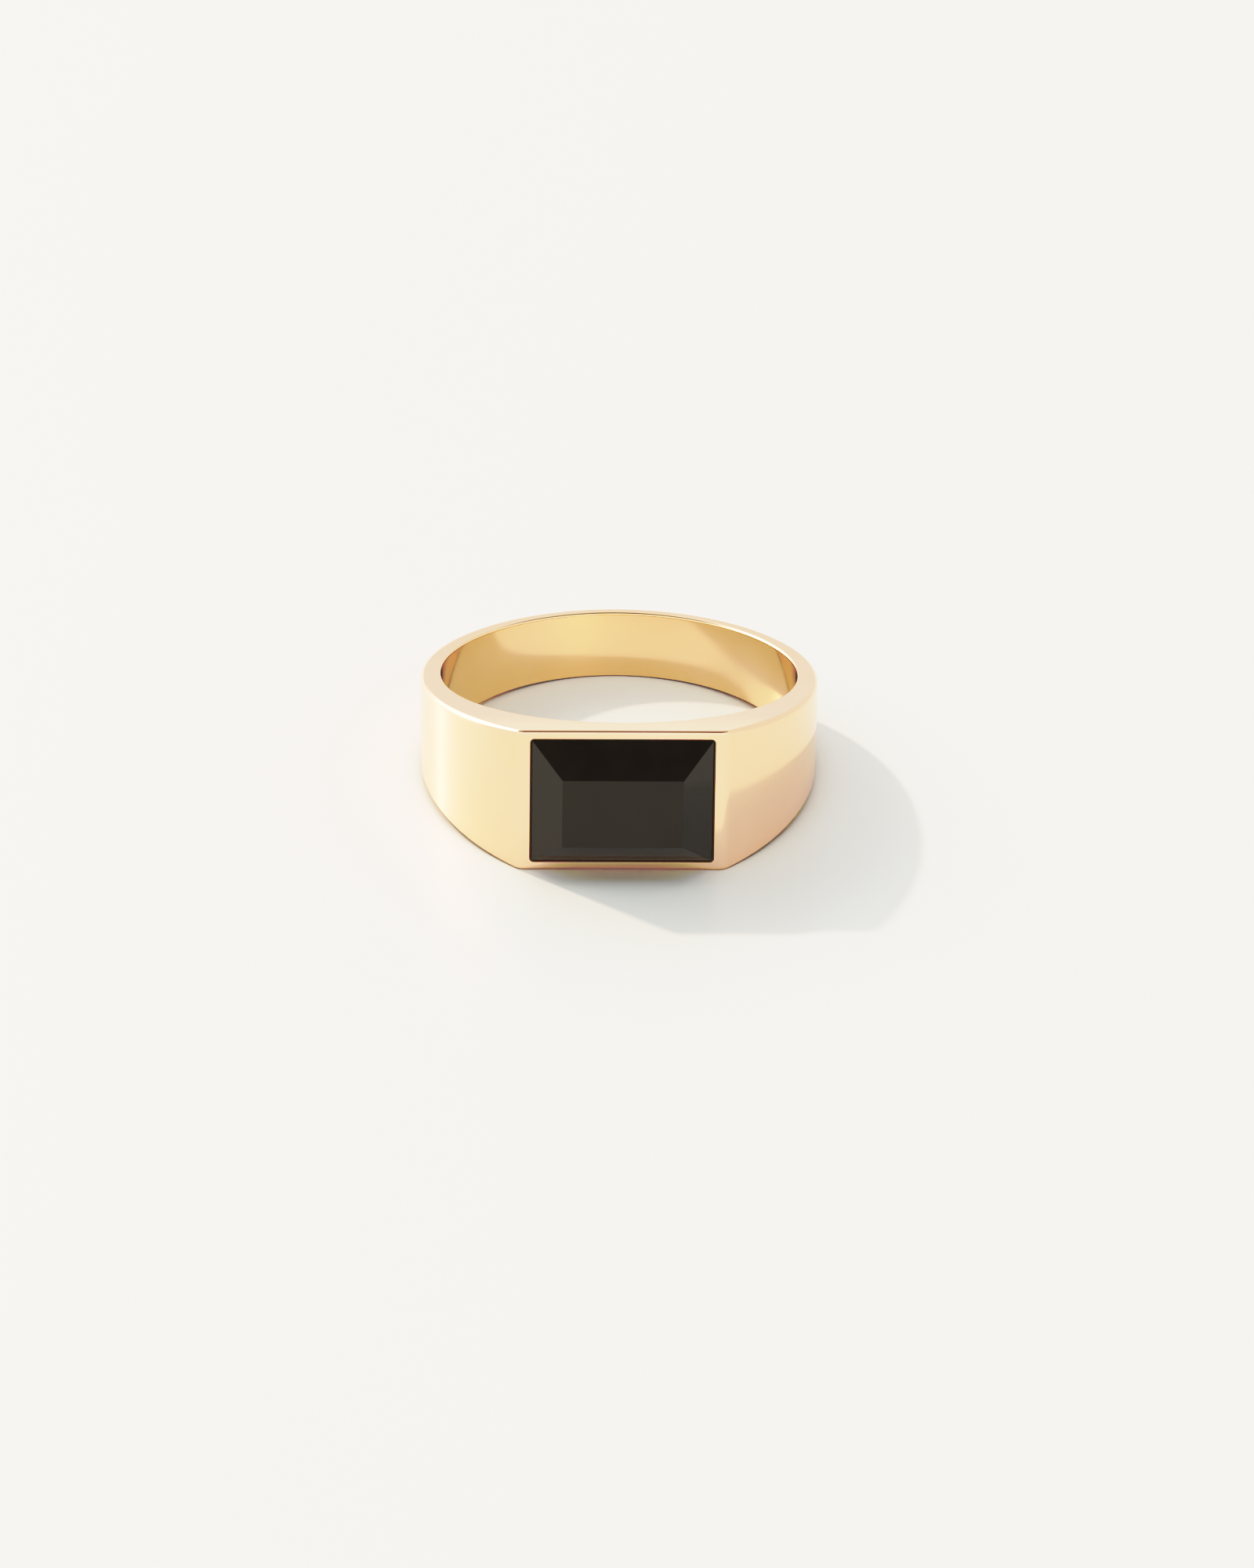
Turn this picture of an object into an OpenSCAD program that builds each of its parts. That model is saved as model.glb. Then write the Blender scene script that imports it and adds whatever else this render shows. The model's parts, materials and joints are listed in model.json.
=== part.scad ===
// Signet ring lying on its side: one cast band and head, and a step-cut stone
// cemented into the head.
//
// Every piece is drawn in the ring's own frame: the finger bore runs along Z through
// the origin, the face looks along -Y and X runs across the face. rest_pose() then leans
// that frame back onto the two edges that the ring lies on, so the model stands on z = 0.

/* [Finger bore] */
// Inside diameter of the band
bore_d = 18.1; // [15:0.1:22]

/* [Band] */
// Wall thickness at the two sides
side_wall = 1.05; // [0.8:0.05:1.4]
// Wall thickness at the back
back_wall = 0.75; // [0.6:0.05:1]
// Height of the band at the two sides
side_h = 4.65; // [4.4:0.05:5]
// Height of the band at the back
back_h = 3.5; // [3.2:0.05:4]

/* [Head] */
// Thickness from the bore to the flat face
head_t = 1.8; // [1.5:0.05:2.4]
// Width of the flat face, between its corners with the shoulders
face_w = 10.3; // [9.8:0.05:11]
// Height of the flat face
face_h = 7.6; // [7.4:0.05:8.2]

/* [Stone seat] */
// Width of the opening for the stone
seat_w = 9.2; // [8.8:0.05:9.4]
// Height of the opening for the stone
seat_h = 6.7; // [6.3:0.05:6.8]
// Depth of the seat below the face
seat_depth = 0.8; // [0.6:0.05:1]
// Corner radius of the opening
seat_corner_r = 0.3; // [0.15:0.05:0.5]

/* [Stone] */
// Width of the stone's flat table
table_w = 6.0; // [5:0.1:7]
// Height of the stone's flat table
table_h = 3.6; // [3:0.1:4.4]
// How far the table stands out of the face
crown_h = 1.65; // [1:0.05:2]

/* [Cement] */
// Thickness of the cement under the stone
bed_t = 0.1; // [0.05:0.05:0.2]
// Thickness of the cement around the stone's edge
film_t = 0.05; // [0.04:0.01:0.08]
// How far the stone's edge and the cement lie below the face
sink = 0.05; // [0.02:0.01:0.1]

/* [Hidden] */

gold = [0.93, 0.76, 0.47];
onyx = [0.07, 0.065, 0.06];
cement = [0.32, 0.17, 0.09];

// How far cutting solids run past what they cut
over = 1;

bore_r = bore_d / 2;
face_y = bore_r + head_t;
back_y = bore_r + back_wall;

// The outer circle is as wide as the sides and sits forward of the bore,
// so the wall thins from the sides to the back
outer_r = bore_r + side_wall;
outer_y = back_y - outer_r;

// Each shoulder is one arc, tangent to the outer circle at its widest point
// and ending at the corner of the face
shoulder_in = outer_r - face_w / 2;
shoulder_run = face_y + outer_y;
shoulder_r = (pow(shoulder_in, 2) + pow(shoulder_run, 2)) / (2 * shoulder_in);

// Seen from the side, the upper and lower edges are arcs through three points [y, z]
profile_centre = circle_centre(
    [-face_y, face_h / 2],
    [0, side_h / 2],
    [back_y, back_h / 2]
);
profile_r = norm(profile_centre - [0, side_h / 2]);
profile_fn = 1440;

// The lean that puts the lower edge of the face and the back of the band on the floor
lean = atan((face_h - back_h) / 2 / (face_y + back_y));
lift = face_h / 2 * cos(lean) - face_y * sin(lean);
front_of_table = (face_y + crown_h) * cos(lean) + table_h / 2 * sin(lean);
front_of_face = face_y * cos(lean) + face_h / 2 * sin(lean);
front_reach = max(front_of_table, front_of_face);
back_reach = back_y * cos(lean) + back_h / 2 * sin(lean);

stone_w = seat_w - 2 * film_t;
stone_h = seat_h - 2 * film_t;
stone_corner_r = seat_corner_r - film_t;
stone_edge_y = face_y - sink;
stone_base_y = face_y - seat_depth + bed_t;
table_y = face_y + crown_h;

// Centre of the circle through three points
function circle_centre(a, b, c) =
    let (
        d = 2 * (a.x * (b.y - c.y) + b.x * (c.y - a.y) + c.x * (a.y - b.y)),
        x = (a * a) * (b.y - c.y) + (b * b) * (c.y - a.y) + (c * c) * (a.y - b.y),
        y = (a * a) * (c.x - b.x) + (b * b) * (a.x - c.x) + (c * c) * (b.x - a.x)
    )
    [x / d, y / d];

// Leans the ring's own frame onto the floor, with the middle of its box over the origin
module rest_pose() {
    translate([0, (front_reach - back_reach) / 2, lift])
        rotate([-lean, 0, 0])
            children();
}

// Extrudes a shape drawn in [x, z] from one distance in front of the bore axis to another
module from_face(inner, outer) {
    translate([0, -inner, 0])
        rotate([90, 0, 0])
            linear_extrude(height = outer - inner)
                children();
}

module rounded_rectangle(w, h, r) {
    square([w - 2 * r, h], center = true);
    square([w, h - 2 * r], center = true);
    for (x = [-1, 1], y = [-1, 1]) {
        translate([x * (w / 2 - r), y * (h / 2 - r)])
            circle(r = r, $fn = 48);
    }
}

module shoulder_circle(side) {
    translate([side * (outer_r - shoulder_r), outer_y])
        circle(r = shoulder_r, $fn = 360);
}

// The ring's outline seen along the bore: the offset outer circle and the head
module outline() {
    translate([0, outer_y])
        circle(r = outer_r, $fn = 360);
    intersection() {
        translate([-outer_r, -face_y])
            square([2 * outer_r, face_y + outer_y]);
        shoulder_circle(1);
        shoulder_circle(-1);
    }
}

// One of the two long arcs that taper the ring from the face to the back
module taper_cut(side) {
    translate([0, profile_centre.x, side * profile_centre.y])
        rotate([0, 90, 0])
            cylinder(r = profile_r, h = 2 * (outer_r + over), center = true, $fn = profile_fn);
}

module ring_body() {
    color(gold)
        rest_pose()
            difference() {
                linear_extrude(height = face_h + 2 * over, center = true)
                    outline();
                taper_cut(1);
                taper_cut(-1);
                cylinder(r = bore_r, h = face_h + 4 * over, center = true, $fn = 360);
                from_face(face_y - seat_depth, face_y + over)
                    rounded_rectangle(seat_w, seat_h, seat_corner_r);
            }
}

// A bar with the crown's slope on two opposite sides: base_w wide at the stone's edge,
// top_w wide at the table, and length long
module crown_bar(base_w, top_w, length) {
    linear_extrude(height = length, center = true)
        polygon([
            [-base_w / 2, -stone_base_y],
            [base_w / 2, -stone_base_y],
            [base_w / 2, -stone_edge_y],
            [top_w / 2, -table_y],
            [-top_w / 2, -table_y],
            [-base_w / 2, -stone_edge_y]
        ]);
}

// Flat table with four sloping facets, over a straight edge that sits in the head
module stone() {
    color(onyx)
        rest_pose()
            intersection() {
                crown_bar(stone_w, table_w, stone_h + 2 * over);
                rotate([0, 90, 0])
                    crown_bar(stone_h, table_h, stone_w + 2 * over);
                from_face(stone_base_y - over, table_y + over)
                    rounded_rectangle(stone_w, stone_h, stone_corner_r);
            }
}

// Fills the seat under the stone and the thin joint around its edge
module setting_cement() {
    color(cement)
        rest_pose()
            difference() {
                from_face(face_y - seat_depth, stone_edge_y)
                    rounded_rectangle(seat_w, seat_h, seat_corner_r);
                from_face(stone_base_y, face_y)
                    rounded_rectangle(stone_w, stone_h, stone_corner_r);
            }
}

ring_body();
setting_cement();
stone();
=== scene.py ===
import json
import math

import bmesh
import bpy
from mathutils import Matrix, Vector, noise
from mathutils.geometry import normal as face_normal


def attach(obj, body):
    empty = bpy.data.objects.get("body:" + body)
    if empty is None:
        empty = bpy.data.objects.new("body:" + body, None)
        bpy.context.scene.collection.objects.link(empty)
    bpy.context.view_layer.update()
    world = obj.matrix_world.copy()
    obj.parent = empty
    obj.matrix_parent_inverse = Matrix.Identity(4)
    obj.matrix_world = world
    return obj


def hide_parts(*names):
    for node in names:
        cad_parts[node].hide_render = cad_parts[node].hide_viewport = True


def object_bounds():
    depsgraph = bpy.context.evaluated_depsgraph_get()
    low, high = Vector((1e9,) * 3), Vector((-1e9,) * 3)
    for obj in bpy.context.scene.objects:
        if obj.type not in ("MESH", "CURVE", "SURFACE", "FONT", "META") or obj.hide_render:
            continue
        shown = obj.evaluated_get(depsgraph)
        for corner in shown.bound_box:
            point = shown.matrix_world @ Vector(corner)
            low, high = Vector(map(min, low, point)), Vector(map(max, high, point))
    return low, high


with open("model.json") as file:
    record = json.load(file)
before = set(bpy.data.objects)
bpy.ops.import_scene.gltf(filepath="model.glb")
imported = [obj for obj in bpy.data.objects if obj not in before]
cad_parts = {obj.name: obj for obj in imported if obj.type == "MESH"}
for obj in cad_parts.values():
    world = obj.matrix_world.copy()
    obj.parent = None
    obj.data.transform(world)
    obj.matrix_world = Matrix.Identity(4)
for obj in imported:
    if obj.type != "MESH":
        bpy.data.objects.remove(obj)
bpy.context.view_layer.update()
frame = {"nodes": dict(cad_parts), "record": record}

# ---------------------------------------------------------------------------
# The ring's own frame, in millimetres: the finger bore runs along Z through the
# origin, the face looks along -Y and X runs across the face.
# ---------------------------------------------------------------------------
MM = 0.001
bore = frame["record"]["mounts"][0]
bore_r = bore["dims"]["r_mm"]
bore_centre = Vector(bore["pos_m"])
along_bore = Vector(bore["axis"]).normalized()
across_face = Vector((1, 0, 0))
to_back = along_bore.cross(across_face)
ring_axes = Matrix((across_face, to_back, along_bore)).transposed().to_4x4()
ring_to_row = Matrix.Translation(bore_centre) @ ring_axes @ Matrix.Scale(MM, 4)
row_to_ring = ring_to_row.inverted()
TO_FRONT = Vector((0, -1, 0))
TO_REAR = Vector((0, 1, 0))


def ring_points(node):
    """The corners of a CAD node's mesh, in the ring's own frame."""
    return [row_to_ring @ v.co for v in frame["nodes"][node].data.vertices]


# ---------------------------------------------------------------------------
# Sizes, measured on the CAD nodes
# ---------------------------------------------------------------------------
# Corners no further than this from a flat part of a node belong to it
near = 0.02

body = ring_points("ring_body")
outer_r = max(p.x for p in body)
face_y = -min(p.y for p in body)
back_y = max(p.y for p in body)
face_w = 2 * max(p.x for p in body if p.y < near - face_y)
face_h = 2 * max(p.z for p in body if p.y < near - face_y)
back_h = 2 * max(p.z for p in body if p.y > back_y - near)
widest = max(body, key=lambda p: (round(p.x, 3), p.z))
outer_y = widest.y

film = ring_points("setting_cement")
seat_w = 2 * max(p.x for p in film)
seat_h = 2 * max(p.z for p in film)
film_y = -min(p.y for p in film)
seat_floor_y = -max(p.y for p in film)

tablet = ring_points("stone")
stone_w = 2 * max(p.x for p in tablet)
stone_h = 2 * max(p.z for p in tablet)
table_y = -min(p.y for p in tablet)
stone_base_y = -max(p.y for p in tablet)
table_w = 2 * max(p.x for p in tablet if p.y < near - table_y)
table_h = 2 * max(p.z for p in tablet if p.y < near - table_y)

# ---------------------------------------------------------------------------
# Finish of the edges, in millimetres
# ---------------------------------------------------------------------------
FACE_TOP_ROUND = 0.17
FACE_BOTTOM_ROUND = 0.14
BAND_TOP_ROUND = 0.27
BAND_BOTTOM_ROUND = 0.1
BORE_TOP_ROUND = 0.13
BORE_BOTTOM_ROUND = 0.02
CORNER_ROUND = 0.7
LIP_ROUND = 0.02
SEAT_CORNER = 0.2
STONE_CORNER = 0.16
STONE_BEVEL = 0.02
# How far behind the face its edges' rounds take to become the band's
ROUND_CHANGE = 2.5
# The stone's edges that turn by more degrees than this are softened
STONE_BEVEL_ANGLE = 20

# ---------------------------------------------------------------------------
# How finely the pieces are drawn
# ---------------------------------------------------------------------------
BAND_STEPS = 240
SHOULDER_STEPS = 96
FACE_CORNER_STEPS = 12
FACE_STEPS = 72
ROUND_STEPS = 8
BORE_ROUND_STEPS = 6
RIM_STEPS = 4
WALL_STEPS = 10
SEAT_CORNER_STEPS = 10
LIP_STEPS = 4
STONE_CORNER_STEPS = 12
STONE_BEVEL_STEPS = 3
# Along the film's long sides, its short ends and its corners
FILM_STEPS = (60, 44, 10)

# ---------------------------------------------------------------------------
# Outline and side profile of the ring
# ---------------------------------------------------------------------------
shoulder_in = outer_r - face_w / 2
shoulder_run = face_y + outer_y
shoulder_r = (shoulder_in ** 2 + shoulder_run ** 2) / (2 * shoulder_in)
shoulder_x = outer_r - shoulder_r


def circle_centre(a, b, c):
    """Centre of the circle through three points."""
    d = 2 * (a.x * (b.y - c.y) + b.x * (c.y - a.y) + c.x * (a.y - b.y))
    x = a.dot(a) * (b.y - c.y) + b.dot(b) * (c.y - a.y) + c.dot(c) * (a.y - b.y)
    y = a.dot(a) * (c.x - b.x) + b.dot(b) * (a.x - c.x) + c.dot(c) * (b.x - a.x)
    return Vector((x / d, y / d))


profile_face = Vector((-face_y, face_h / 2))
profile_side = Vector((outer_y, widest.z))
profile_back = Vector((back_y, back_h / 2))
profile_centre = circle_centre(profile_face, profile_side, profile_back)
profile_r = (profile_face - profile_centre).length


def rim_height(y):
    """Half the ring's height at y: its upper and lower rims are two long shallow arcs."""
    return profile_centre.y - math.sqrt(profile_r ** 2 - (y - profile_centre.x) ** 2)


def rim_slope(y):
    """How steeply the upper rim rises towards the back at y."""
    return (y - profile_centre.x) / (profile_centre.y - rim_height(y))


def rim_normal(y):
    """The way the upper rim faces at y."""
    return Vector((0, -rim_slope(y), 1)).normalized()


def arc(centre, radius, start, end, steps):
    """Points on an arc with their outward directions, from start up to but without end, which
    begins the next part of the outline. The angles are in radians."""
    for i in range(steps):
        t = start + (end - start) * i / steps
        out = Vector((math.cos(t), math.sin(t)))
        yield centre + out * radius, out


def outline():
    """Stations round the outside, anticlockwise from the right-hand side, as (point, outward)
    pairs, and the numbers of the first and the last one on the flat face."""
    left_centre = Vector((-shoulder_x, outer_y))
    right_centre = Vector((shoulder_x, outer_y))
    corner_y = CORNER_ROUND - face_y
    reach = math.sqrt((shoulder_r - CORNER_ROUND) ** 2 - (corner_y - outer_y) ** 2)
    corner_x = shoulder_x + reach
    turn = math.atan2(corner_y - outer_y, reach)
    stations = list(arc(Vector((0, outer_y)), outer_r, 0, math.pi, BAND_STEPS))
    stations += arc(left_centre, shoulder_r, math.pi, math.pi - turn, SHOULDER_STEPS)
    left_corner = Vector((-corner_x, corner_y))
    into_face = 1.5 * math.pi
    stations += arc(left_corner, CORNER_ROUND, math.pi - turn, into_face, FACE_CORNER_STEPS)
    first = len(stations)
    for i in range(FACE_STEPS):
        x = corner_x * (2 * i / FACE_STEPS - 1)
        stations.append((Vector((x, -face_y)), Vector((0, -1))))
    last = len(stations)
    right_corner = Vector((corner_x, corner_y))
    round_again = 2 * math.pi
    stations += arc(right_corner, CORNER_ROUND, into_face, round_again + turn, FACE_CORNER_STEPS)
    stations += arc(right_centre, shoulder_r, round_again + turn, round_again, SHOULDER_STEPS)
    return stations, first, last


def smoothstep(low, high, value):
    """0 up to low, 1 from high on, and smooth between."""
    t = min(max((value - low) / (high - low), 0), 1)
    return t * t * (3 - 2 * t)


def outer_round(p, side):
    """Radius of the outer edge at a station, for the upper (1) or the lower (-1) rim."""
    at_face = FACE_TOP_ROUND if side > 0 else FACE_BOTTOM_ROUND
    on_band = BAND_TOP_ROUND if side > 0 else BAND_BOTTOM_ROUND
    away = smoothstep(0, ROUND_CHANGE, p.y + face_y)
    return at_face + (on_band - at_face) * away


# ---------------------------------------------------------------------------
# Mesh under construction
# ---------------------------------------------------------------------------
class Skin:
    """Points with their true normals and faces, in the ring's own frame."""

    def __init__(self):
        self.points = []
        self.normals = []
        self.faces = []

    def add(self, point, normal):
        """Adds a point and returns its number."""
        self.points.append(Vector(point))
        self.normals.append(Vector(normal).normalized())
        return len(self.points) - 1

    def strip(self, a, b, closed=False):
        """Quads between two rows of the same length."""
        count = len(a) if closed else len(a) - 1
        for i in range(count):
            j = (i + 1) % len(a)
            self.faces.append((a[i], a[j], b[j], b[i]))

    def fan(self, corner, row):
        """Triangles from one corner to a row."""
        for i in range(len(row) - 1):
            self.faces.append((corner, row[i], row[i + 1]))

    def cap(self, row):
        """One flat face inside a closed row."""
        self.faces.append(tuple(row))

    def outward(self, face):
        """The face, wound so that it looks the way its points' normals do."""
        facing = face_normal([self.points[i] for i in face])
        meant = sum((self.normals[i] for i in face), Vector())
        return face if facing.dot(meant) > 0 else face[::-1]

    def mesh(self, name):
        """The mesh in the row frame, smooth, with the normals that the shape really has."""
        made = bpy.data.meshes.new(name)
        faces = [self.outward(face) for face in self.faces]
        made.from_pydata([ring_to_row @ p for p in self.points], [], faces)
        made.validate()
        made.shade_smooth()
        turn = ring_axes.to_3x3()
        made.normals_split_custom_set_from_vertices([turn @ n for n in self.normals])
        return made


def show(name, mesh, node, look):
    """Adds a piece that stands for a CAD node, with its material."""
    piece = bpy.data.objects.new(name, mesh)
    bpy.context.scene.collection.objects.link(piece)
    piece.data.materials.append(look)
    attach(piece, "root")
    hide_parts(node)
    return piece


# ---------------------------------------------------------------------------
# Gold casting
# ---------------------------------------------------------------------------
def rounded_edge(p, out, radius, side, steps):
    """The round from the wall at p up (side 1) or down (side -1) to the rim, as (point, normal)
    pairs."""
    centre = p - out * radius
    # The rim slopes, so the round turns through a little more or less than a quarter
    slope = rim_slope(centre.y) * out.y
    level = rim_height(centre.y) - radius * math.sqrt(1 + slope ** 2)
    sweep = math.pi / 2 + math.atan(slope)
    wall = Vector((out.x, out.y, 0))
    rim = rim_normal(centre.y)
    made = []
    for i in range(steps + 1):
        t = sweep * i / steps
        spot = centre + out * radius * math.cos(t)
        height = level + radius * math.sin(t)
        normal = wall.slerp(rim, i / steps)
        made.append((
            Vector((spot.x, spot.y, side * height)),
            Vector((normal.x, normal.y, side * normal.z)),
        ))
    return made


def half_section(p, out, side):
    """From the bore's wall over one rim to the outer wall, as (point, normal) pairs."""
    inward = -p.normalized()
    bore_round = BORE_TOP_ROUND if side > 0 else BORE_BOTTOM_ROUND
    inner = rounded_edge(p.normalized() * bore_r, inward, bore_round, side, BORE_ROUND_STEPS)
    outer = rounded_edge(p, out, outer_round(p, side), side, ROUND_STEPS)
    outer.reverse()
    rim = []
    for i in range(1, RIM_STEPS):
        spot = inner[-1][0].lerp(outer[0][0], i / RIM_STEPS)
        spot.z = side * rim_height(spot.y)
        normal = rim_normal(spot.y)
        rim.append((spot, Vector((normal.x, normal.y, side * normal.z))))
    return inner + rim + outer


def between(a, b, steps):
    """Points between two (point, normal) pairs, without the ends."""
    return [(a[0].lerp(b[0], i / steps), a[1]) for i in range(1, steps)]


def rounded_loop(w, h, r, grow, side_steps, end_steps, corner_steps):
    """A rounded rectangle, clockwise from its upper left as seen from the front, in four straight
    runs and four corners. Each is a list of (x, z, outward x, outward z)."""
    half_x = w / 2 - r
    half_z = h / 2 - r
    middles = [(half_x, half_z), (half_x, -half_z), (-half_x, -half_z), (-half_x, half_z)]
    starts = [(-half_x, half_z)] + middles[:-1]
    runs, corners = [], []
    for i, (start, end) in enumerate(zip(starts, middles)):
        heading = math.pi / 2 - i * math.pi / 2
        out = Vector((round(math.cos(heading)), round(math.sin(heading))))
        steps = side_steps if i % 2 == 0 else end_steps
        run = []
        for k in range(steps + 1):
            spot = Vector(start).lerp(Vector(end), k / steps) + out * (r + grow)
            run.append((spot.x, spot.y, out.x, out.y))
        corner = []
        for k in range(corner_steps + 1):
            t = heading - math.pi / 2 * k / corner_steps
            out = Vector((math.cos(t), math.sin(t)))
            spot = Vector(end) + out * (r + grow)
            corner.append((spot.x, spot.y, out.x, out.y))
        runs.append(run)
        corners.append(corner)
    return runs, corners


def joined(runs, corners):
    """One closed row from the parts of a rounded rectangle."""
    row = []
    for run, corner in zip(runs, corners):
        row += run[:-1] + corner[:-1]
    return row


def cast_shell(skin):
    """The rims, the lining of the bore and the outer wall. Returns the flat face's four edges,
    clockwise from the upper one as seen from the front."""
    stations, first, last = outline()
    count = len(stations)
    upper, wall, lower, lining = [], [], [], []
    for i, (p, out) in enumerate(stations):
        top = half_section(p, out, 1)
        bottom = half_section(p, out, -1)
        upper.append([skin.add(*q) for q in top])
        lower.append([skin.add(*q) for q in reversed(bottom)])
        inside_face = first < i < last
        rows = [] if inside_face else between(top[-1], bottom[-1], WALL_STEPS)
        wall.append([upper[-1][-1]] + [skin.add(*q) for q in rows] + [lower[-1][0]])
        rows = between(bottom[0], top[0], WALL_STEPS)
        lining.append([lower[-1][-1]] + [skin.add(*q) for q in rows] + [upper[-1][0]])
    for i in range(count):
        j = (i + 1) % count
        skin.strip(upper[j], upper[i])
        skin.strip(lower[j], lower[i])
        skin.strip(lining[j], lining[i])
        if not first <= i < last:
            skin.strip(wall[j], wall[i])
    top_row = [upper[i][-1] for i in range(first, last + 1)]
    bottom_row = [lower[i][0] for i in range(last, first - 1, -1)]
    return top_row, wall[last], bottom_row, wall[first][::-1]


def cast_face(skin, edges):
    """The flat face, from its edges in to the opening for the stone. Returns the opening's row
    of points and the place and outward direction of each."""
    steps = len(edges[0]) - 1
    shape = (seat_w, seat_h, SEAT_CORNER, LIP_ROUND, steps, WALL_STEPS, SEAT_CORNER_STEPS)
    runs, corners = rounded_loop(*shape)
    rows = [[skin.add((x, -face_y, z), TO_FRONT) for x, z, _, _ in run] for run in runs]
    bends = []
    for k, corner in enumerate(corners):
        inner = [skin.add((x, -face_y, z), TO_FRONT) for x, z, _, _ in corner[1:-1]]
        bends.append([rows[k][-1]] + inner + [rows[(k + 1) % 4][0]])
    for edge, row in zip(edges, rows):
        skin.strip(row, edge)
    for edge, bend in zip(edges, bends):
        skin.fan(edge[-1], bend[::-1])
    return joined(rows, bends), joined(runs, corners)


def cast_seat(skin, ring, spots):
    """The small round on the opening's lip, the seat's wall and its floor."""
    levels = []
    for k in range(1, LIP_STEPS + 1):
        t = math.pi / 2 * k / LIP_STEPS
        levels.append((LIP_ROUND * math.sin(t), LIP_ROUND * (1 - math.cos(t)), t))
    levels.append((LIP_ROUND, face_y - seat_floor_y, math.pi / 2))
    for inset, depth, t in levels:
        row = []
        for x, z, out_x, out_z in spots:
            point = (x - out_x * inset, depth - face_y, z - out_z * inset)
            normal = (-out_x * math.sin(t), -math.cos(t), -out_z * math.sin(t))
            row.append(skin.add(point, normal))
        skin.strip(row, ring, closed=True)
        ring = row
    skin.cap(ring[::-1])


def cast_body():
    """The band, the shoulders and the head with its seat, all one closed skin."""
    skin = Skin()
    edges = cast_shell(skin)
    ring, spots = cast_face(skin, edges)
    cast_seat(skin, ring, spots)
    return skin.mesh("ring_casting")


# ---------------------------------------------------------------------------
# Stone
# ---------------------------------------------------------------------------
def crown_y(x, z):
    """How far forward the stone's crown is at a point inside its edge."""
    rise = table_y - film_y
    from_end = rise * (stone_w / 2 - abs(x)) / ((stone_w - table_w) / 2)
    from_side = rise * (stone_h / 2 - abs(z)) / ((stone_h - table_h) / 2)
    return film_y + min(from_end, from_side, rise)


def cut_stone():
    """A flat table and four sloping facets over a straight edge with rounded corners."""
    made = bmesh.new()
    runs, corners = rounded_loop(stone_w, stone_h, STONE_CORNER, 0, 1, 1, STONE_CORNER_STEPS)
    half_w = table_w / 2
    half_h = table_h / 2
    table = [(half_w, half_h), (half_w, -half_h), (-half_w, -half_h), (-half_w, half_h)]
    table = [made.verts.new((x, -table_y, z)) for x, z in table]
    bends = [[made.verts.new((x, -crown_y(x, z), z)) for x, z, _, _ in c] for c in corners]
    feet = [[made.verts.new((x, -stone_base_y, z)) for x, z, _, _ in c] for c in corners]
    made.faces.new(table[::-1])
    middle = STONE_CORNER_STEPS // 2
    for k in range(4):
        before = bends[k - 1][middle:]
        after = bends[k][:middle + 1]
        made.faces.new([table[k - 1], table[k]] + (before + after)[::-1])
    edge = [v for bend in bends for v in bend]
    foot = [v for row in feet for v in row]
    for i in range(len(edge)):
        j = (i + 1) % len(edge)
        made.faces.new((edge[i], edge[j], foot[j], foot[i]))
    made.faces.new(foot)
    bmesh.ops.recalc_face_normals(made, faces=made.faces)
    mesh = bpy.data.meshes.new("stone_tablet")
    made.to_mesh(mesh)
    made.free()
    mesh.transform(ring_to_row)
    mesh.shade_smooth()
    return mesh


def soften(piece):
    """Takes the sharpness off the stone's edges, as its polish does."""
    bevel = piece.modifiers.new("softened_edges", "BEVEL")
    bevel.width = STONE_BEVEL * MM
    bevel.segments = STONE_BEVEL_STEPS
    bevel.limit_method = "ANGLE"
    bevel.angle_limit = math.radians(STONE_BEVEL_ANGLE)
    bevel.harden_normals = True


# ---------------------------------------------------------------------------
# Cement
# ---------------------------------------------------------------------------
def cement_bed():
    """The bed under the stone, and the thin uneven film that fills the joint round it."""
    skin = Skin()
    gap = 0.004
    unevenness = 0.02
    waves_per_mm = 3
    outer = joined(*rounded_loop(seat_w, seat_h, SEAT_CORNER, -gap, *FILM_STEPS))
    inner = joined(*rounded_loop(stone_w, stone_h, STONE_CORNER, gap, *FILM_STEPS))

    def row(loop, y, normal, rough=0):
        """A row of points at y, which look outward where no normal is given."""
        made = []
        for x, z, out_x, out_z in loop:
            wave = rough * noise.noise(Vector((x * waves_per_mm, y, z * waves_per_mm)))
            made.append(skin.add((x, wave - y, z), normal or (out_x, 0, out_z)))
        return made

    foot = row(outer, seat_floor_y + gap, TO_REAR)
    wall_foot = row(outer, seat_floor_y + gap, None)
    wall_top = row(outer, film_y, None, unevenness)
    film_out = row(outer, film_y, TO_FRONT, unevenness)
    film_in = row(inner, film_y, TO_FRONT, unevenness)
    bed = row(inner, stone_base_y - gap, TO_FRONT)
    skin.cap(foot)
    skin.strip(wall_top, wall_foot, closed=True)
    skin.strip(film_in, film_out, closed=True)
    skin.strip(bed, film_in, closed=True)
    skin.cap(bed[::-1])
    return skin.mesh("cement_bed")


# ---------------------------------------------------------------------------
# Materials: each colour and roughness varies between two values, and each
# noise has a scale per metre and a number of octaves
# ---------------------------------------------------------------------------
GOLD_OUTSIDE = ((0.96, 0.69, 0.486, 1), (0.985, 0.712, 0.52, 1))
# Painted shade: the gold on the bore's wall is a little darker and deeper than outside, standing in
# for the shade and gold-on-gold reflections in the bore
GOLD_PAINTED_BORE_SHADE = ((0.925, 0.688, 0.44, 1), (0.95, 0.708, 0.47, 1))
GOLD_CLOUDS = (260, 3)
GOLD_ROUGHNESS = (0.07, 0.11)
GOLD_WEAR = (700, 4)
POLISHING_LINES = (500, 500, 16000)
LINE_STRENGTH = 0.08
LINE_DEPTH = 0.01 * MM

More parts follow.
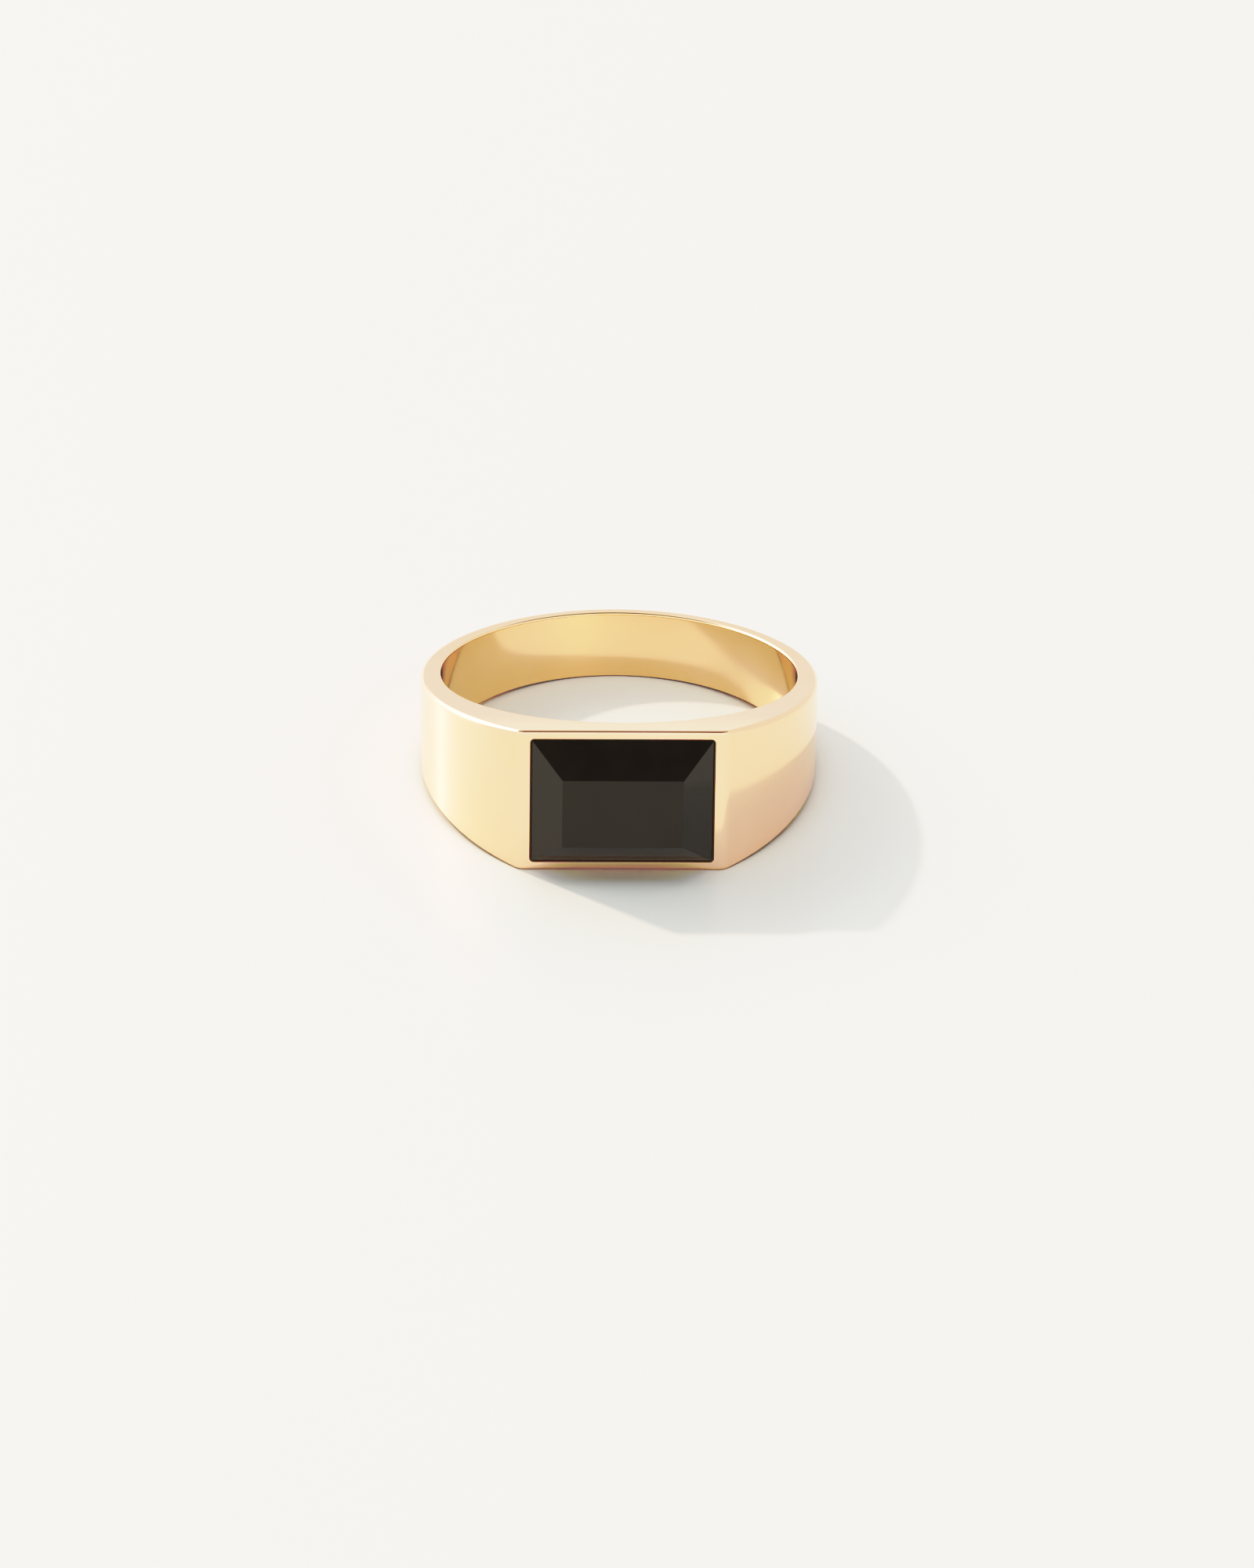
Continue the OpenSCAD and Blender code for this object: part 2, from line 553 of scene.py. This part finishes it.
ONYX_COLOUR = ((0.006, 0.004, 0.003, 1), (0.011, 0.008, 0.005, 1))
ONYX_CLOUDS = (420, 5)
ONYX_ROUGHNESS = (0.05, 0.12)
ONYX_WEAR = (1500, 3)
ONYX_IOR = 1.54
ONYX_SPECULAR_TINT = (1.0, 0.9, 0.76, 1)

CEMENT_COLOUR = ((0.12, 0.036, 0.014, 1), (0.24, 0.08, 0.03, 1))
CEMENT_ROUGHNESS = (0.45, 0.7)
CEMENT_GRAIN = (9000, 4)
GRAIN_STRENGTH = 0.4
GRAIN_DEPTH = 0.02 * MM

FLOOR_COLOUR = ((0.68, 0.675, 0.645, 1), (0.69, 0.685, 0.655, 1))
FLOOR_CLOUDS = (6, 2)
FLOOR_ROUGHNESS = 0.38
FLOOR_SPECULAR = 0.5


class Nodes:
    """Short calls for building a node tree."""

    def __init__(self, tree):
        self.tree = tree
        tree.nodes.clear()

    def add(self, kind, **inputs):
        """A new node, with a value or a link for each named socket."""
        node = self.tree.nodes.new(kind)
        for name, value in inputs.items():
            self.set(node, name.replace("_", " "), value)
        return node

    def set(self, node, name, value):
        """Gives a socket a value, or links it to another node's output."""
        socket = node.inputs[name]
        if isinstance(value, bpy.types.NodeSocket):
            self.tree.links.new(value, socket)
        else:
            socket.default_value = value

    def vector(self, operation, a, b=None):
        """A vector math node, whose result is its Vector or its Value output."""
        node = self.tree.nodes.new("ShaderNodeVectorMath")
        node.operation = operation
        self.set(node, 0, a)
        if b is not None:
            self.set(node, 1, b)
        return node

    def noise(self, vector, scale, detail=2.0):
        """Noise around 0.5, scale waves to the metre and detail octaves deep."""
        node = self.add("ShaderNodeTexNoise", Vector=vector, Scale=scale, Detail=detail)
        return node.outputs["Fac"]

    def ranged(self, value, low, high):
        """Spreads a noise value, which stays near 0.5, over low to high."""
        node = self.add("ShaderNodeMapRange", Value=value, From_Min=0.3, From_Max=0.7)
        node.inputs["To Min"].default_value = low
        node.inputs["To Max"].default_value = high
        return node.outputs["Result"]

    def mixed(self, factor, a, b):
        """Colour a where the factor is 0 and b where it is 1."""
        node = self.tree.nodes.new("ShaderNodeMix")
        node.data_type = "RGBA"
        factor_socket, a_socket, b_socket, result_socket = 0, 6, 7, 2
        self.set(node, factor_socket, factor)
        self.set(node, a_socket, a)
        self.set(node, b_socket, b)
        return node.outputs[result_socket]


def material(name):
    """A new material, its node calls, its shader and the place on the piece."""
    made = bpy.data.materials.new(name)
    made.use_nodes = True
    nodes = Nodes(made.node_tree)
    surface = nodes.add("ShaderNodeBsdfPrincipled")
    output = nodes.add("ShaderNodeOutputMaterial")
    nodes.set(output, "Surface", surface.outputs[0])
    place = nodes.add("ShaderNodeTexCoord").outputs["Object"]
    return made, nodes, surface, place


def gold():
    """Polished yellow gold with faint clouding and fine polishing lines; on the bore's wall it is
    painted a little darker and deeper, as painted shade for the bore.
    """
    made, nodes, surface, place = material("polished_gold")
    ring = nodes.add("ShaderNodeMapping", Vector=place)
    ring.vector_type = "TEXTURE"
    ring.inputs["Location"].default_value = bore_centre
    ring.inputs["Rotation"].default_value = ring_axes.to_euler()
    ring_place = ring.outputs[0]
    flat = nodes.vector("MULTIPLY", ring_place, (1, 1, 0)).outputs["Vector"]
    from_axis = nodes.vector("LENGTH", flat).outputs["Value"]
    # Mask of the painted bore shade: 1 on the bore's wall, 0 past its rounded top edge
    bore_shade_mask = nodes.add("ShaderNodeMapRange", Value=from_axis)
    bore_shade_mask.inputs["From Min"].default_value = (bore_r + BORE_TOP_ROUND) * MM
    bore_shade_mask.inputs["From Max"].default_value = bore_r * MM
    cloud = nodes.ranged(nodes.noise(ring_place, *GOLD_CLOUDS), 0, 1)
    outside = nodes.mixed(cloud, *GOLD_OUTSIDE)
    # The darker gold of the painted bore shade
    inside = nodes.mixed(cloud, *GOLD_PAINTED_BORE_SHADE)
    nodes.set(surface, "Base Color", nodes.mixed(bore_shade_mask.outputs["Result"], outside, inside))
    surface.inputs["Metallic"].default_value = 1
    wear = nodes.noise(ring_place, *GOLD_WEAR)
    nodes.set(surface, "Roughness", nodes.ranged(wear, *GOLD_ROUGHNESS))
    lines = nodes.vector("MULTIPLY", ring_place, POLISHING_LINES).outputs["Vector"]
    bump = nodes.add("ShaderNodeBump", Height=nodes.noise(lines, 1), Strength=LINE_STRENGTH)
    bump.inputs["Distance"].default_value = LINE_DEPTH
    nodes.set(surface, "Normal", bump.outputs[0])
    return made


def onyx():
    """Black stone with a faint brown cast, polished to a mirror."""
    made, nodes, surface, place = material("black_onyx")
    cloud = nodes.ranged(nodes.noise(place, *ONYX_CLOUDS), 0, 1)
    nodes.set(surface, "Base Color", nodes.mixed(cloud, *ONYX_COLOUR))
    wear = nodes.noise(place, *ONYX_WEAR)
    nodes.set(surface, "Roughness", nodes.ranged(wear, *ONYX_ROUGHNESS))
    surface.inputs["IOR"].default_value = ONYX_IOR
    surface.inputs["Specular Tint"].default_value = ONYX_SPECULAR_TINT
    return made


def cement():
    """Dark brown jeweller's cement, dull and slightly grainy."""
    made, nodes, surface, place = material("jewellers_cement")
    grain = nodes.noise(place, *CEMENT_GRAIN)
    tint = nodes.mixed(nodes.ranged(grain, 0, 1), *CEMENT_COLOUR)
    nodes.set(surface, "Base Color", tint)
    nodes.set(surface, "Roughness", nodes.ranged(grain, *CEMENT_ROUGHNESS))
    bump = nodes.add("ShaderNodeBump", Height=grain, Strength=GRAIN_STRENGTH)
    bump.inputs["Distance"].default_value = GRAIN_DEPTH
    nodes.set(surface, "Normal", bump.outputs[0])
    return made


def paper():
    """The pale floor, slightly cloudy."""
    made, nodes, surface, place = material("pale_floor")
    cloud = nodes.ranged(nodes.noise(place, *FLOOR_CLOUDS), 0, 1)
    nodes.set(surface, "Base Color", nodes.mixed(cloud, *FLOOR_COLOUR))
    surface.inputs["Roughness"].default_value = FLOOR_ROUGHNESS
    surface.inputs["Specular IOR Level"].default_value = FLOOR_SPECULAR
    return made


# ---------------------------------------------------------------------------
# The pieces
# ---------------------------------------------------------------------------
show("ring_casting", cast_body(), "ring_body", gold())
stone = show("onyx_tablet", cut_stone(), "stone", onyx())
soften(stone)
show("cement_bed", cement_bed(), "setting_cement", cement())

# ---------------------------------------------------------------------------
# Floor, light and camera: angles in degrees, distances in metres
# ---------------------------------------------------------------------------
FLOOR_SIZE = 6.0

KEY_BEARING = 228.0
KEY_HEIGHT = 37.0
KEY_DISTANCE = 3.0
KEY_SIZE = 0.12
KEY_POWER = 60.0
KEY_TINT = (1.0, 0.77, 0.55)

FILL_HEIGHT = 1.5
FILL_SIZE = 0.8
FILL_POWER = 7.4
FILL_TINT = (0.86, 0.95, 1.0)

# The sky's patches are round: radii and blends are angles from their middles
SKY_FRONT = (1.22, 1.22, 1.22, 1)
SKY_BACK = (1.0, 0.99, 0.97, 1)
FRONT_HEIGHT = 25.0
FRONT_INNER = 30.0
FRONT_OUTER = 100.0
SKY_GLOW = (3.0, 2.9, 2.7, 1)
GLOW_INNER = 6.0
GLOW_OUTER = 46.0
SKY_TOP = (0.42, 0.42, 0.4, 1)
SKY_TOP_TILT = 8.0
SKY_TOP_RADIUS = 36.0
SKY_TOP_BLEND = 12.0
SKY_VENT = (0.22, 0.2, 0.18, 1)
SKY_VENT_HEIGHT = 79.0
SKY_VENT_RADIUS = 12.0
SKY_VENT_BLEND = 8.0

# Pairs of the light in the scene and how bright the print shows it
PRINT = (
    (0.06, 0.037), (0.1, 0.062), (0.2, 0.09), (0.26, 0.13), (0.32, 0.25), (0.37, 0.32),
    (0.45, 0.395), (0.52, 0.475), (0.6, 0.58), (0.7, 0.685), (0.8, 0.765), (0.9, 0.833),
    (1.0, 0.875), (1.15, 0.91), (1.25, 0.94), (1.35, 0.965), (1.6, 0.99),
)
PRINT_WHITE = 2.6
# The curve that works on red, green and blue alike
ALL_CHANNELS = 3

CAMERA_BEARING = -1.36
CAMERA_HEIGHT = 29.26
CAMERA_ROLL = 0.9
CAMERA_DISTANCE = 0.402
CAMERA_LENS = 181.0
CAMERA_NEAREST = 0.01
AIM_RIGHT = 0.43 * MM
AIM_DOWN = 3.58 * MM


def direction(bearing, height):
    """Unit vector towards a bearing, 0 at the front and 90 on the right, and a height."""
    a = math.radians(bearing)
    e = math.radians(height)
    return Vector((math.sin(a) * math.cos(e), -math.cos(a) * math.cos(e), math.sin(e)))


def make_floor():
    """A plain sheet under the ring, much larger than the view."""
    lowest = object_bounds()[0].z
    mesh = bpy.data.meshes.new("floor")
    half = FLOOR_SIZE / 2
    ends = [(-half, -half), (half, -half), (half, half), (-half, half)]
    mesh.from_pydata([(x, y, lowest) for x, y in ends], [], [(0, 1, 2, 3)])
    floor = bpy.data.objects.new("floor", mesh)
    bpy.context.scene.collection.objects.link(floor)
    floor.data.materials.append(paper())


def make_key():
    """A small warm light from the back left."""
    lamp = bpy.data.lights.new("key_light", "AREA")
    lamp.size = KEY_SIZE
    lamp.energy = KEY_POWER
    lamp.color = KEY_TINT
    key = bpy.data.objects.new("key_light", lamp)
    bpy.context.scene.collection.objects.link(key)
    towards = direction(KEY_BEARING, KEY_HEIGHT)
    key.location = bore_centre + towards * KEY_DISTANCE
    key.rotation_mode = "QUATERNION"
    key.rotation_quaternion = towards.to_track_quat("Z", "Y")


def make_fill():
    """A cool soft light overhead, which the polished metal doesn't mirror."""
    lamp = bpy.data.lights.new("fill_light", "AREA")
    lamp.shape = "DISK"
    lamp.size = FILL_SIZE
    lamp.energy = FILL_POWER
    lamp.color = FILL_TINT
    fill = bpy.data.objects.new("fill_light", lamp)
    bpy.context.scene.collection.objects.link(fill)
    fill.location = bore_centre + Vector((0, 0, FILL_HEIGHT))
    fill.visible_glossy = False


def make_sky():
    """Bright studio walls, brightest round the key light, and a dark ceiling with a darker vent,
    which the stone's upper facet mirrors."""
    world = bpy.data.worlds.new("studio")
    world.use_nodes = True
    bpy.context.scene.world = world
    nodes = Nodes(world.node_tree)
    place = nodes.add("ShaderNodeTexCoord").outputs["Generated"]

    def patch(towards, inner, outer):
        """1 within the inner angle of a direction, 0 past the outer one, smooth between."""
        edge = nodes.tree.nodes.new("ShaderNodeMapRange")
        edge.interpolation_type = "SMOOTHSTEP"
        nodes.set(edge, "Value", nodes.vector("DOT_PRODUCT", place, towards).outputs["Value"])
        nodes.set(edge, "From Min", math.cos(math.radians(outer)))
        nodes.set(edge, "From Max", math.cos(math.radians(inner)))
        return edge.outputs["Result"]

    def disk(towards, radius, blend):
        """A round patch with a soft edge as wide as the blend."""
        return patch(towards, radius - blend / 2, radius + blend / 2)

    glow = patch(direction(KEY_BEARING, KEY_HEIGHT), GLOW_INNER, GLOW_OUTER)
    cap = disk(direction(180, 90 - SKY_TOP_TILT), SKY_TOP_RADIUS, SKY_TOP_BLEND)
    vent = disk(direction(0, SKY_VENT_HEIGHT), SKY_VENT_RADIUS, SKY_VENT_BLEND)
    front = patch(direction(0, FRONT_HEIGHT), FRONT_INNER, FRONT_OUTER)
    walls = nodes.mixed(glow, nodes.mixed(front, SKY_BACK, SKY_FRONT), SKY_GLOW)
    colour = nodes.mixed(cap, walls, nodes.mixed(vent, SKY_TOP, SKY_VENT))
    background = nodes.add("ShaderNodeBackground", Color=colour)
    output = nodes.add("ShaderNodeOutputWorld")
    nodes.set(output, "Surface", background.outputs[0])


def make_camera():
    """A long lens in front of the ring and above it, aimed a little below the bore's middle."""
    towards = direction(CAMERA_BEARING, CAMERA_HEIGHT)
    right = Vector((0, 0, 1)).cross(towards).normalized()
    up = towards.cross(right)
    roll = Matrix.Rotation(math.radians(CAMERA_ROLL), 3, towards)
    right = roll @ right
    up = roll @ up
    place = bore_centre + towards * CAMERA_DISTANCE
    aim = bore_centre + right * AIM_RIGHT - up * AIM_DOWN
    back = (place - aim).normalized()
    right = up.cross(back).normalized()
    up = back.cross(right)
    lens = bpy.data.cameras.new("camera")
    lens.lens = CAMERA_LENS
    lens.clip_start = CAMERA_NEAREST
    camera = bpy.data.objects.new("camera", lens)
    bpy.context.scene.collection.objects.link(camera)
    axes = Matrix((right, up, back)).transposed().to_4x4()
    camera.matrix_world = Matrix.Translation(place) @ axes
    bpy.context.scene.camera = camera


def set_print():
    """Prints the light as a photograph does: deep shades, and highlights that roll off softly."""
    view = bpy.context.scene.view_settings
    view.view_transform = "Standard"
    view.use_curve_mapping = True
    mapping = view.curve_mapping
    mapping.white_level = (PRINT_WHITE, PRINT_WHITE, PRINT_WHITE)
    curve = mapping.curves[ALL_CHANNELS]
    for light, shown in PRINT:
        curve.points.new(light / PRINT_WHITE, shown)
    for point in curve.points:
        point.handle_type = "AUTO_CLAMPED"
    mapping.extend = "HORIZONTAL"
    mapping.update()


make_floor()
make_key()
make_fill()
make_sky()
make_camera()
set_print()
